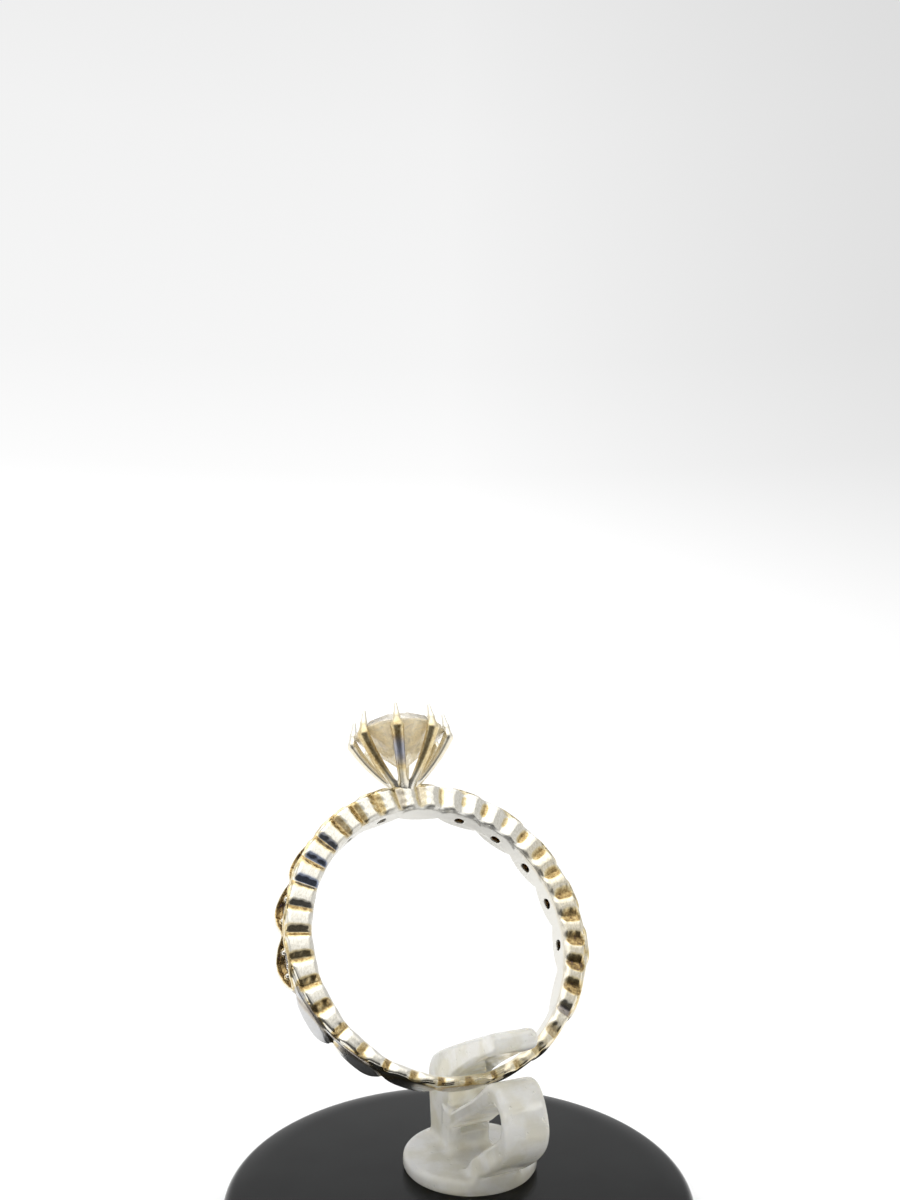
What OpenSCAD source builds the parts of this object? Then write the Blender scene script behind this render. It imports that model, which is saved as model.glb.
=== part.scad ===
// Cubic zirconia solitaire ring, leaning back in a clear clip that stands on a round base.
// Millimetres, +Z up. The origin is the centre of the base's flat underside.

/* [Ring] */
// Finger hole, inside diameter
bore_d = 17.3; // [16.5:0.1:18.2]
// Band thickness at its sides
band_t = 1.77; // [1.65:0.01:1.85]
// Band thickness at the very bottom, where the clip holds it
heel_t = 0.5; // [0.45:0.01:0.6]
// Shift of the band's outside from the bore, sideways and towards the head
out_shift = [0.05, 0.15];
// Distance of the grooved near wall from the band's middle
near_w = 1.08; // [1:0.01:1.12]
// Links round the band
links = 18; // [18]
// Uneven spacing of the links in degrees: all of them turned, more on one side, more at the ends
drift = [1.75, -3.4, 1.2];
// Stone-set links on each side of the head
set_links = 5; // [0:1:5]

/* [Links] */
// Width of a marquise link across the band
rim_w = 1.86; // [1.7:0.02:1.9]
// Width of two marquise links where they meet
waist_w = 0.32; // [0.3:0.02:0.6]
// Height of a link's ends over the near wall, below it when negative
waist_h = -0.1; // [-0.15:0.01:0]
// Rise of a link's middle over the near wall
crest_h = 0.15; // [0.1:0.01:0.25]
// Marquise recess of a stone-set link, length round the band
recess_l = 2.9; // [2.6:0.05:3]
// Fall of the band's outside from the near wall to its middle
fall_h = 0.2; // [0.1:0.01:0.25]
// Marquise recess of a stone-set link, width across the band
recess_w = 1.48; // [1.4:0.02:1.52]
// Depth of a stone-set recess in the middle of its link
recess_h = 0.4; // [0.35:0.01:0.45]
// Hole through the band behind each small stone
azure_d = 0.7; // [0.6:0.05:0.8]
// Girdle diameter of the small stones
accent_d = 1.25; // [1.1:0.05:1.3]
// Diameter of the metal beads that hold a small stone
bead_d = 0.32; // [0.2:0.02:0.34]
// Width of the upright grooves in the near wall, at the bore
groove_w = 0.86; // [0.6:0.02:0.9]
// Depth of those grooves
groove_h = 0.24; // [0.15:0.01:0.26]

/* [Head] */
// Girdle diameter of the centre stone
stone_d = 6.5; // [6:0.1:6.6]
// Height of the centre stone's girdle above the ring's centre
girdle_h = 14.55; // [14.45:0.05:14.65]
// Prongs round the centre stone
prongs = 8; // [6:2:8]
// Height of the bend in each prong above the ring's centre
bend_h = 14; // [13.9:0.05:14.1]
// Distance of the bends from the head's axis
bend_r = 3.46; // [3.4:0.02:3.5]
// Height of the prong tips above the ring's centre
tip_h = 15.65; // [15.5:0.05:15.8]
// Distance of the prong tips from the head's axis
tip_r = 3.25; // [3.2:0.01:3.3]
// Prong thickness at the foot
prong_foot_d = 0.62; // [0.5:0.02:0.7]
// Prong thickness at the bend
prong_bend_d = 0.98; // [0.94:0.02:1]
// Step of the soldered head from the top of the band, sideways and towards the near side
head_step = [-0.7, 0.3];
// Sideways tilt of the soldered head
head_tilt = 2; // [0:0.5:4]
// Lean of the soldered head towards the near side
head_lean = 9; // [4:0.5:10]

/* [Stand] */
// Turn of the ring's near side towards the right
ring_turn = 23.8; // [23.8]
// Lean of the ring backwards
ring_lean = 32.3; // [32.3]
// Roll of the ring in its own plane
ring_roll = 1.8; // [1.8]
// Ring's centre, from the middle of the base's underside
ring_at = [-1.26, 3.73, 16.18];
// Base diameter
base_d = 27.9; // [27:0.1:29]
// Base thickness
base_t = 3; // [3]
// Rounding of the base's upper edge
base_round = 0.55; // [0.3:0.05:0.8]
// Middle of the clip's foot on the base
clip_at = [0.71, 1.38];
// Diameter of the clip's foot
foot_d = 8.3; // [8:0.1:8.6]
// Thickness of the clip's foot
foot_t = 0.9; // [0.8:0.05:0.95]
// Width of the clip's ribbon
clip_w = 2.8; // [2.6:0.05:2.9]
// Width of the slot in the front of the clip's post
slot_w = 1.8; // [1.2:0.1:2]
// Height of that slot above the base's underside
slot_h = 4.95; // [4.7:0.05:5.2]

/* [Hidden] */
$fn = 96;
bore_r = bore_d / 2;
out_r = bore_r + band_t;
heel_r = bore_r + heel_t;
heel_big_r = out_r + 0.58;
head_at = 10.4;
pitch = 360 / links;
stone_r = stone_d / 2;
seat_gap = 0.045;
clip_gap = 0.02;
// Columns: distance towards the viewer from the foot's middle, height above the base's underside
post_line = [[0.05, 3.6], [0.05, 7.6], [0.3, 8.4], [1.6, 9.35], [3, 10.2], [4.4, 10.98], [5.6, 11.55],
    [6.3, 11.95], [6.48, 12.35], [6.25, 12.8], [5.6, 12.83], [4.4, 12.3], [1.6, 11.05], [-1.45, 9.62],
    [-2.75, 8.87], [-3.3, 8.2], [-3.5, 7.4], [-3.35, 6], [-3.15, 4.6], [-3.15, 3.6]];
loop_out = [[-1, 6.35], [0.05, 6.45], [1.4, 7.26], [3.1, 8.33], [4.3, 9.22], [5.1, 9.85], [5.8, 10.12], [6.45, 10.05],
    [7, 9.65], [7.42, 9], [7.72, 8.2], [7.75, 7.5], [7.45, 6.75], [6.6, 5.85], [5.3, 4.9], [4.1, 4.15],
    [3.7, 3.6]];
loop_in = [[2.3, 3.6], [2.75, 4.6], [3.9, 5.5], [5.5, 6.6], [6.5, 7.35], [6.92, 8], [6.85, 8.65], [6.4, 9.02],
    [5.8, 9.03], [5, 8.6], [3.1, 7.33], [1.4, 6.25], [0.3, 5.5], [-1, 5.3]];

// Curve through a table of points, in straight steps
function curve_at(p, i, t) = let (n = len(p), a = p[max(i - 1, 0)], b = p[i], c = p[i + 1],
    d = p[min(i + 2, n - 1)]) 0.5 * (2 * b + (c - a) * t + (2 * a - 5 * b + 4 * c - d) * t * t
    + (3 * b - a - 3 * c + d) * t * t * t);
function curve(p, steps) = concat([for (i = [0:len(p) - 2], j = [0:steps - 1]) curve_at(p, i, j / steps)],
    [p[len(p) - 1]]);

// Radius of a lens-shaped outline's two arcs, from its half length and half width
function lens_r(l, w) = (l * l + w * w) / (2 * w);

// Half length of the lens whose half width falls by a step at a distance from its middle
function lens_len(w, step, at) = let (r = (at * at + step * step) / (2 * step)) sqrt(r * r - (r - w) * (r - w));

// Angle of a link's middle from the head, or of the meeting of two links for a number and a half
function link_a(i) = i * pitch + drift[0] + drift[1] * sin(i * pitch) + drift[2] * sin(2 * i * pitch);

// Radius of a circle about a shifted point, at an angle from the head
function circle_r(r, at, a) = let (d = at[0] * sin(a) + at[1] * cos(a)) d + sqrt(d * d + r * r - at * at);

// Radius of the near wall's outer edge, at an angle from the head
function wall_r(a) = min(circle_r(out_r, out_shift, a), circle_r(heel_big_r, [0, heel_big_r - heel_r], a));

// Half of the way round that a link takes, as a distance
function link_half(i) = wall_r(link_a(i)) * sin((link_a(i + 0.5) - link_a(i - 0.5)) / 2);

// Radius at the middle of a link
function crest_r(i) = wall_r(link_a(i)) + crest_h;

module place_ring() {
    translate(ring_at)
        rotate([0, 0, ring_turn])
            rotate([-ring_lean, 0, 0])
                rotate([0, ring_roll, 0])
                    children();
}

module at_link(a) {
    rotate([0, a, 0])
        children();
}

module place_head() {
    translate([head_step[0], -head_step[1], head_at])
        rotate([head_lean, head_tilt, 0])
            translate([0, 0, -head_at])
                children();
}

// Lens-shaped prism standing along the radius
module lens(l, w, z0, z1) {
    r = lens_r(l / 2, w / 2);
    intersection() {
        translate([0, r - w / 2, z0])
            cylinder(h = z1 - z0, r = r);
        translate([0, w / 2 - r, z0])
            cylinder(h = z1 - z0, r = r);
    }
}

// Disc whose edge falls towards the far side, with a bevel at the near wall
module edge_disc(r) {
    rotate([90, 0, 0])
        rotate_extrude()
            polygon([[0, -0.7], [r - fall_h * 1.65, -0.7], [r, near_w - 0.15], [r - 0.12, near_w + 0.02],
                [0, near_w + 0.02]]);
}

// Near half of the band, all round, without its grooves
module near_band() {
    intersection() {
        rotate([90, 0, 0])
            rotate_extrude()
                polygon([[bore_r - 0.2, -0.3], [out_r - 0.3, -0.05], [out_r + 0.3, -0.05], [out_r + 0.3, near_w],
                    [bore_r + 0.45, near_w], [bore_r + 0.14, near_w - 0.06], [bore_r, near_w - 0.2],
                    [bore_r - 0.2, near_w - 0.22]]);
        translate([out_shift[0], 0, out_shift[1]])
            edge_disc(out_r);
        translate([0, 0, heel_big_r - heel_r])
            edge_disc(heel_big_r);
    }
}

// Upright grooves of the near wall: at the middle of every link, and where two links meet
module grooves() {
    r1 = (groove_w * groove_w / 4 + groove_h * groove_h) / (2 * groove_h);
    r2 = r1 * 0.8;
    for (i = [0:0.5:links - 0.5])
        at_link(link_a(i))
            translate([0, -(near_w + r1 - groove_h), bore_r - 0.5])
                cylinder(h = band_t + 1, r1 = r1, r2 = r2, $fn = 48);
}

// Marquise link, the full thickness of the band; the plain ones are domed
module link(i) {
    top = crest_r(i);
    half = link_half(i);
    end_r = top - crest_h + waist_h;
    drop = top - sqrt(end_r * end_r - half * half);
    bow_r = (half * half + drop * drop) / (2 * drop);
    is_set = (i >= 1 && i <= set_links) || (i >= links - set_links && i < links);
    at_link(link_a(i))
        intersection() {
            lens(2 * lens_len(rim_w / 2, (rim_w - waist_w) / 2, half), rim_w, bore_r - 0.6, top + 0.9);
            translate([0, 0, top - bow_r])
                rotate([90, 0, 0])
                    cylinder(h = 4, r = bow_r, center = true);
            if (!is_set && i != 0)
                translate([0, 0, top - 1.5])
                    rotate([0, 90, 0])
                        cylinder(h = 8, r = 1.5, center = true);
        }
}

module setting_cut(i) {
    top = crest_r(i);
    at_link(link_a(i)) {
        lens(recess_l, recess_w, top - recess_h, top + 1);
        translate([0, 0, top - recess_h - 0.5])
            cylinder(h = 0.5, r1 = azure_d / 2, r2 = accent_d / 2 + seat_gap);
        translate([0, 0, bore_r - 1])
            cylinder(h = 2.4, d = azure_d);
    }
}

module beads(i) {
    at_link(link_a(i))
        for (x = [-1, 1], y = [-1, 1])
            translate([0.71 * x, 0.39 * y, crest_r(i) - recess_h + 0.02])
                sphere(d = bead_d);
}

module shank() {
    difference() {
        union() {
            difference() {
                near_band();
                grooves();
            }
            for (i = [0:links - 1])
                link(i);
        }
        rotate([90, 0, 0])
            cylinder(h = 8, r = bore_r, center = true);
        if (set_links > 0)
            for (k = [1:set_links], s = [0, 1])
                setting_cut(s == 0 ? k : links - k);
    }
    if (set_links > 0)
        for (k = [1:set_links], s = [0, 1])
            beads(s == 0 ? k : links - k);
}

// Room for the centre stone, cut from the prongs
module stone_room() {
    translate([0, 0, girdle_h])
        cylinder(h = 1.3, r1 = stone_r + 0.05, r2 = stone_r - 0.9);
    translate([0, 0, girdle_h - 0.16])
        cylinder(h = 0.17, r = stone_r + 0.05);
    translate([0, 0, girdle_h - 3.02])
        cylinder(h = 2.87, r1 = 0.05, r2 = stone_r + 0.05);
}

module prong() {
    foot_r = 0.55;
    foot_h = head_at - 0.05;
    run = bend_r - foot_r;
    rise = bend_h - foot_h;
    translate([foot_r, 0, foot_h])
        rotate([0, atan2(run, rise), 0])
            cylinder(h = norm([run, rise]), d1 = prong_foot_d, d2 = prong_bend_d, $fn = 48);
    translate([bend_r, 0, bend_h])
        sphere(d = prong_bend_d + 0.03, $fn = 48);
    claw = tip_r - bend_r;
    translate([bend_r, 0, bend_h])
        rotate([0, atan2(claw, tip_h - bend_h), 0])
            cylinder(h = norm([claw, tip_h - bend_h]), d1 = prong_bend_d, d2 = 0.26, $fn = 48);
    translate([tip_r, 0, tip_h])
        sphere(d = 0.31, $fn = 32);
}

module head() {
    place_head() {
        difference() {
            for (i = [0:prongs - 1])
                rotate([0, 0, (i + 0.5) * 360 / prongs])
                    prong();
            stone_room();
        }
        translate([0, 0, head_at - 0.5])
            cylinder(h = 0.85, r1 = 0.62, r2 = 0.98);
    }
}

module silver_ring() {
    color([0.83, 0.82, 0.79])
        place_ring() {
            shank();
            head();
        }
}

// Round brilliant: girdle at z = 0, table up
module brilliant(r, crown, table, pavilion, edge) {
    n = 8;
    st = 360 / n;
    mid_r = 0.5 * (r + table);
    // Rows: table corners, crown kite corners, girdle top, girdle bottom, lower facet corners, culet
    pts = concat(
        [for (i = [0:n - 1]) [table * cos(i * st), table * sin(i * st), crown]],
        [for (i = [0:n - 1]) [(mid_r + 0.06 * r) * cos((i + 0.5) * st), (mid_r + 0.06 * r) * sin((i + 0.5) * st),
            crown * 0.56]],
        [for (i = [0:2 * n - 1]) [r * cos(i * st / 2), r * sin(i * st / 2), edge / 2]],
        [for (i = [0:2 * n - 1]) [r * cos(i * st / 2), r * sin(i * st / 2), -edge / 2]],
        [[0, 0, -pavilion]]);
    g = 2 * n;
    b = 4 * n;
    c = 6 * n;
    fs = concat(
        [[for (i = [n - 1:-1:0]) i]],
        [for (i = [0:n - 1]) [i, (i + 1) % n, n + i]],
        [for (i = [0:n - 1]) [i, n + i, g + 2 * i]],
        [for (i = [0:n - 1]) [i, g + 2 * i, n + (i + n - 1) % n]],
        [for (i = [0:n - 1]) [n + i, g + 2 * i + 1, g + 2 * i]],
        [for (i = [0:n - 1]) [n + i, g + (2 * i + 2) % g, g + 2 * i + 1]],
        [for (i = [0:g - 1]) [g + i, g + (i + 1) % g, b + (i + 1) % g]],
        [for (i = [0:g - 1]) [g + i, b + (i + 1) % g, b + i]],
        [for (i = [0:g - 1]) [b + i, b + (i + 1) % g, c]]);
    polyhedron(points = pts, faces = fs, convexity = 2);
}

module centre_stone() {
    color([0.9, 0.88, 0.8, 0.5])
        place_ring()
            place_head()
                translate([0, 0, girdle_h - 0.07])
                    brilliant(stone_r, 1.05, stone_r * 0.57, 2.75, 0.12);
}

module accent_stone(side, k) {
    i = side > 0 ? k : links - k;
    if (k <= set_links)
        color([0.95, 0.95, 0.93, 0.5])
            place_ring()
                at_link(link_a(i))
                    translate([0, 0, crest_r(i) - recess_h - 0.01])
                        brilliant(accent_d / 2, 0.19, accent_d * 0.3, 0.44, 0.04);
}

module in_clip_frame() {
    translate([clip_at[0], clip_at[1], 0])
        rotate([0, 0, ring_turn])
            children();
}

// Side outline of the clip drawn with the viewer's side on the left, then stood upright
module ribbon(outline) {
    rotate([0, 0, -90])
        rotate([90, 0, 0])
            linear_extrude(height = clip_w, center = true)
                polygon(outline);
}

module ring_clip() {
    color([0.86, 0.85, 0.8, 0.8])
        in_clip_frame() {
            difference() {
                ribbon(curve(post_line, 4));
                translate([-slot_w / 2 + 0.3, -1, slot_h])
                    cube([slot_w, 2, 0.5]);
            }
            ribbon(concat(curve(loop_out, 4), curve(loop_in, 4)));
            translate([0, 0, base_t + clip_gap])
                rounded_disc(foot_d, foot_t, 0.25);
        }
}

// Disc with a rounded upper edge
module rounded_disc(d, h, r) {
    rotate_extrude() {
        square([d / 2 - r, h]);
        square([d / 2, h - r]);
        translate([d / 2 - r, h - r])
            circle(r = r);
    }
}

module base_disc() {
    color([0.02, 0.02, 0.03])
        rounded_disc(base_d, base_t, base_round);
}

silver_ring();
centre_stone();
accent_stone(-1, 1);  // accent_stone_l1
accent_stone(-1, 2);  // accent_stone_l2
accent_stone(-1, 3);  // accent_stone_l3
accent_stone(-1, 4);  // accent_stone_l4
accent_stone(-1, 5);  // accent_stone_l5
accent_stone(1, 1);  // accent_stone_r1
accent_stone(1, 2);  // accent_stone_r2
accent_stone(1, 3);  // accent_stone_r3
accent_stone(1, 4);  // accent_stone_r4
accent_stone(1, 5);  // accent_stone_r5
ring_clip();
base_disc();
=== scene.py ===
"""Looks of a solitaire ring on its clip stand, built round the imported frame."""
import math
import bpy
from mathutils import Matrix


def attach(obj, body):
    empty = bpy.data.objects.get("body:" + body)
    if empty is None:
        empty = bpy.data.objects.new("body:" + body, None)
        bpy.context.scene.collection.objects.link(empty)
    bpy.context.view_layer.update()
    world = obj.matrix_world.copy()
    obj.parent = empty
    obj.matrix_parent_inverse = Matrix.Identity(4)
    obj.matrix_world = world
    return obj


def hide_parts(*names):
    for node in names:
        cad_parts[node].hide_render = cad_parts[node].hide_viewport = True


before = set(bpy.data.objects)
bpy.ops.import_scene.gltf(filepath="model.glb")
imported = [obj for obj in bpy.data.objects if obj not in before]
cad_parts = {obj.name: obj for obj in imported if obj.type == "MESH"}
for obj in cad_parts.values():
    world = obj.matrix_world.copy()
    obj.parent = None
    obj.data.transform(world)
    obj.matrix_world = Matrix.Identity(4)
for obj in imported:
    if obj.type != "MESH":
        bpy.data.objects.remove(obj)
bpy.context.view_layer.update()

from types import SimpleNamespace

import bpy
import numpy as np
from bpy.props import FloatProperty, FloatVectorProperty, IntProperty, PointerProperty
from mathutils import Matrix, Vector

bl_info = {
    "name": "Solitaire Ring on Clip Stand",
    "version": (1, 0, 0),
    "blender": (4, 5, 0),
    "location": "View3D > Sidebar > Ring",
    "description": "Builds the ring, its stones, its clip and its base, with a pale studio round them",
    "category": "Add Mesh",
}

MM = 0.001
LINKS = 18
SET_LINKS = 5


def linear(code):
    """An sRGB hex colour as linear red, green, blue and alpha."""
    parts = [int(code[i:i + 2], 16) / 255 for i in (1, 3, 5)]
    return [c / 12.92 if c <= 0.04045 else ((c + 0.055) / 1.055) ** 2.4 for c in parts] + [1.0]


def length(name, description, default):
    """A length property, given in millimetres and kept in metres."""
    return FloatProperty(name=name, description=description, default=default * MM, min=0, precision=5,
                         subtype="DISTANCE", unit="LENGTH")


def colour(name, description, code):
    """A colour property, given as sRGB hex and kept linear."""
    return FloatVectorProperty(name=name, description=description, default=linear(code)[:3], min=0, max=1, size=3,
                               subtype="COLOR")


class RingSizes(bpy.types.PropertyGroup):
    bore_radius: length("Bore radius", "Half of the finger hole's diameter", 8.65)
    near_wall: length("Near wall", "Distance of the near wall's face from the ring's middle plane", 1.08)
    pad_depth: length("Pad depth", "Depth of the creases between the near wall's pads", 0.24)
    link_half: length("Link half width", "Half width of a link at its middle", 0.97)
    waist_half: length("Waist half width", "Half width where two links meet", 0.16)
    crest: length("Crest", "Height of a link's middle over the wall's edge", 0.15)
    recess_depth: length("Recess depth", "Depth of the leaf-shaped recess round a small stone", 0.4)
    bead_radius: length("Bead radius", "Radius of the metal beads that hold a small stone", 0.19)
    girdle_height: length("Girdle height", "Height of the centre stone's girdle over the ring's centre", 14.55)
    stone_radius: length("Stone radius", "Half of the centre stone's diameter", 3.25)
    prongs: IntProperty(name="Prongs", description="Prongs round the centre stone", default=8, min=4, max=10)


class StandSizes(bpy.types.PropertyGroup):
    clip_width: length("Clip width", "Width of the clip's ribbon", 2.8)
    clip_edge: length("Clip edge", "Rounding of the ribbon's edges", 0.32)
    foot_radius: length("Foot radius", "Half of the diameter of the clip's foot", 4.15)
    base_radius: length("Base radius", "Half of the base's diameter", 13.945)
    base_thickness: length("Base thickness", "Thickness of the base", 3.0)
    base_edge: length("Base edge", "Rounding of the base's upper edge", 0.55)


class Finishes(bpy.types.PropertyGroup):
    silver: colour("Silver", "Bright polished silver", "#F4F2EA")
    straw: colour("Straw tarnish", "Thinnest tarnish on silver", "#EAD9AC")
    gold: colour("Gold tarnish", "Thin tarnish on silver", "#BDA370")
    brown: colour("Brown tarnish", "Medium tarnish on silver", "#7C6440")
    violet: colour("Violet tarnish", "Thick tarnish on silver", "#6A5A72")
    # Blue is also used as a painted reflection of the dark front on the near wall's downward flanks and on the front
    # prong
    blue: colour("Blue tarnish", "Steel blue cast of tarnish on silver", "#98A2B8")
    black: colour("Black tarnish", "Thickest tarnish on silver", "#26241F")
    stone: colour("Stone", "Clean zirconia", "#FFFDF6")
    stone_film: colour("Film on the stone", "Skin oil and dust under the centre stone", "#FBEBC4")
    acrylic: colour("Acrylic", "Milky acrylic of the clip", "#FFFDF3")
    acrylic_deep: colour("Deep acrylic", "Acrylic where it is thick or scuffed", "#F0EAD7")
    base_black: colour("Base", "Black styrene of the base", "#08090A")
    card: colour("Card", "Floor under the stand", "#F7F7F7")


def add_node(tree, kind, links=None, **settings):
    """A node with its settings; links go from an input's name or number to a value, a node or (node, output)."""
    node = tree.nodes.new(kind)
    for name, value in settings.items():
        setattr(node, name, value)
    for key, value in (links or {}).items():
        source = (value, 0) if isinstance(value, bpy.types.Node) else value
        if isinstance(source, tuple) and isinstance(source[0], bpy.types.Node):
            tree.links.new(source[0].outputs[source[1]], node.inputs[key])
        else:
            node.inputs[key].default_value = value
    return node


def new_material(name):
    material = bpy.data.materials.new(name)
    material.use_nodes = True
    material.node_tree.nodes.clear()
    return material, material.node_tree


def opaque(shade):
    return (*shade, 1.0)


def set_stops(node, stops):
    """Places and colours of a colour ramp."""
    ramp = node.color_ramp.elements
    for _ in stops[2:]:
        ramp.new(0.5)
    for stop, (at, shade) in zip(ramp, stops):
        stop.position = at
        stop.color = shade


# Fields: a form is a signed distance in millimetres, negative inside, and forms blend softly as cast metal does

def soft_max(a, b, k):
    """The higher of two fields, with the edge between them rounded over k millimetres."""
    h = np.maximum(k - np.abs(a - b), 0) / k
    return np.maximum(a, b) + h * h * k / 4


def soft_min(a, b, k):
    """The lower of two fields, with a fillet of k millimetres between them."""
    return -soft_max(-a, -b, k)


def surface_of(values, wrap=False):
    """Corners and four-sided faces of the surface where a grid of distances changes sign."""
    if wrap:
        values = np.concatenate([values, values[:1]])
    cells = tuple(n - 1 for n in values.shape)
    total, count = np.zeros(cells + (3,)), np.zeros(cells)
    crossings = []
    for axis in range(3):
        low = [slice(None)] * 3
        high = [slice(None)] * 3
        low[axis], high[axis] = slice(0, -1), slice(1, None)
        a, b = values[tuple(low)], values[tuple(high)]
        crossed = (a < 0) != (b < 0)
        share = np.where(crossed, a / np.where(crossed, a - b, 1), 0)
        crossings.append((crossed, a < 0))
        others = [o for o in range(3) if o != axis]
        at = np.stack(np.meshgrid(*[np.arange(n, dtype=float) for n in a.shape], indexing="ij"), -1)
        at[..., axis] += share
        for first in (0, 1):
            for second in (0, 1):
                pick = [slice(None)] * 3
                pick[others[0]] = slice(first, first + cells[others[0]])
                pick[others[1]] = slice(second, second + cells[others[1]])
                hit = crossed[tuple(pick)]
                total += np.where(hit[..., None], at[tuple(pick)], 0)
                count += hit
    used = count > 0
    number = np.full(cells, -1)
    number[used] = np.arange(used.sum())
    corners = total[used] / count[used][:, None]
    faces = []
    for axis in range(3):
        crossed, inside = crossings[axis]
        b, c = [o for o in range(3) if o != axis]
        at = np.argwhere(crossed)
        sign = inside[crossed]
        keep = np.ones(len(at), bool)
        for o in (b, c):
            if not (wrap and o == 0):
                keep &= (at[:, o] > 0) & (at[:, o] < cells[o])
            else:
                keep &= at[:, o] < cells[o]
        at, sign = at[keep], sign[keep]
        quad = []
        for db, dc in ((1, 1), (0, 1), (0, 0), (1, 0)):
            cell = at.copy()
            cell[:, b] -= db
            cell[:, c] -= dc
            if wrap:
                cell[:, 0] %= cells[0]
            quad.append(number[tuple(cell.T)])
        quad = np.stack(quad, 1)
        flip = sign if axis != 1 else ~sign
        quad[~flip] = quad[~flip][:, ::-1]
        faces.append(quad)
    return corners, np.concatenate(faces)


def slope_of(field, points, eps=0.004):
    """Steepest way up a field, at points."""
    return np.stack([field(points + d) - field(points - d) for d in np.eye(3) * eps], -1) / (2 * eps)


def settle(field, points, steps=3, reach=0.04):
    """Moves points onto the exact surface of a field."""
    for _ in range(steps):
        slope = slope_of(field, points)
        step = field(points)[:, None] * slope / np.maximum((slope * slope).sum(1), 0.05)[:, None]
        size = np.linalg.norm(step, axis=1, keepdims=True)
        points = points - step * np.minimum(1, reach / np.maximum(size, 1e-9))
    return points


def field_piece(name, field, axes, stand, place=lambda g: g, wrap=False, marks=None):
    """A closed piece from a field over a grid.

    place turns grid places into millimetres, stand turns those into the shared frame, and marks gives values
    that the material reads.
    """
    grid = np.stack(np.meshgrid(*axes, indexing="ij"), -1)
    corners, faces = surface_of(field(place(grid)), wrap)
    full = [np.append(a, 2 * a[-1] - a[-2]) for a in axes]
    spots = np.stack([np.interp(corners[:, k], np.arange(len(full[k])), full[k]) for k in range(3)], -1)
    points = settle(field, place(spots))
    mesh = bpy.data.meshes.new(name)
    turn, shift = np.array(stand)[:3, :3], np.array(stand)[:3, 3]
    mesh.from_pydata((points * MM @ turn.T + shift).tolist(), [], faces.tolist())
    mesh.polygons.foreach_set("use_smooth", [True] * len(mesh.polygons))
    for mark, values in (marks(points) if marks else {}).items():
        mesh.attributes.new(mark, "FLOAT", "POINT").data.foreach_set("value", values.astype(np.float32))
    slope = slope_of(field, points)
    slope /= np.linalg.norm(slope, axis=1, keepdims=True)
    mesh.normals_split_custom_set_from_vertices((slope @ turn.T).tolist())
    piece = bpy.data.objects.new(name, mesh)
    bpy.context.scene.collection.objects.link(piece)
    return piece


def settle_in(piece, material, node):
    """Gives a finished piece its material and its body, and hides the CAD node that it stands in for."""
    piece.data.materials.append(material)
    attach(piece, "root")
    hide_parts(node)


# Places of the ring, of its head on the band, of the clip and of the camera, in degrees and millimetres
RING_TURN, RING_LEAN, RING_ROLL = 23.8, -32.3, 1.8
RING_AT = (-1.26, 3.73, 16.18)
HEAD_AT = (-0.7, -0.3, 10.4)
HEAD_TILT, HEAD_LEAN = 2, 9
CLIP_AT = (0.71, 1.38, 0)
VIEW_AT, VIEW_PITCH = (-0.52, -63.0, 33.29), 94.24


# Ring's own frame: X to the viewer's right, -Y to the near wall, Z to the head

def link_angle(i):
    """Angle of a link's middle from the head; the links are not evenly spaced."""
    t = np.radians(np.asarray(i) * 360 / LINKS)
    return np.degrees(t) + 1.75 - 3.4 * np.sin(t) + 1.2 * np.sin(2 * t)


def link_number(theta):
    """Fractional link at an angle in degrees."""
    table = np.arange(-2, LINKS + 2.01, 0.05)
    return np.interp(theta, link_angle(table), table)


def circle_radius(r, at, angle):
    """Radius of a circle about a shifted middle, seen from the bore's axis."""
    t = np.radians(angle)
    d = at[0] * np.sin(t) + at[1] * np.cos(t)
    return d + np.sqrt(d * d + r * r - at[0] ** 2 - at[1] ** 2)


def wall_radius(angle):
    return np.minimum(circle_radius(10.42, (0.05, 0.15), angle), circle_radius(11.0, (0, 1.85), angle))


def ring_place():
    """Where the ring stands: its own frame in the shared one, in metres."""
    turn = Matrix.Rotation(math.radians(RING_TURN), 4, "Z")
    lean = Matrix.Rotation(math.radians(RING_LEAN), 4, "X")
    roll = Matrix.Rotation(math.radians(RING_ROLL), 4, "Y")
    return Matrix.Translation(Vector(RING_AT) * MM) @ turn @ lean @ roll


def head_place():
    """Where the head stands in the ring's own frame."""
    lean = Matrix.Rotation(math.radians(HEAD_TILT), 4, "Y") @ Matrix.Rotation(math.radians(HEAD_LEAN), 4, "X")
    return Matrix.Translation(Vector(HEAD_AT) * MM) @ lean @ Matrix.Translation(Vector((0, 0, -HEAD_AT[2])) * MM)


# Outer end of the near wall's pads. Columns: angle from the head, radius
PAD_END = np.array([
    (0, 10.47), (20, 10.5), (60, 10.42), (78, 10.36), (88, 10.25), (98, 10.1), (107, 9.95), (118, 9.8),
    (128, 9.7), (138, 9.5), (150, 9.35), (160, 9.25), (180, 9.1), (200, 9.2), (215, 9.35), (228, 9.55),
    (240, 9.8), (254, 10.03), (265, 10.22), (275, 10.28), (300, 10.3), (322, 10.36), (350, 10.45), (360, 10.47)])
PAD_SHIFT = -0.05

# Flat middle of the near wall's pads. Columns: angle from the head, share of the pad before its flanks fall away
FLATS = np.array([
    (0, 0.2), (25, 0.05), (60, 0.1), (90, 0.3), (130, 0.35), (180, 0.3), (230, 0.4), (270, 0.53), (310, 0.52),
    (345, 0.3), (360, 0.2)])

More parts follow.
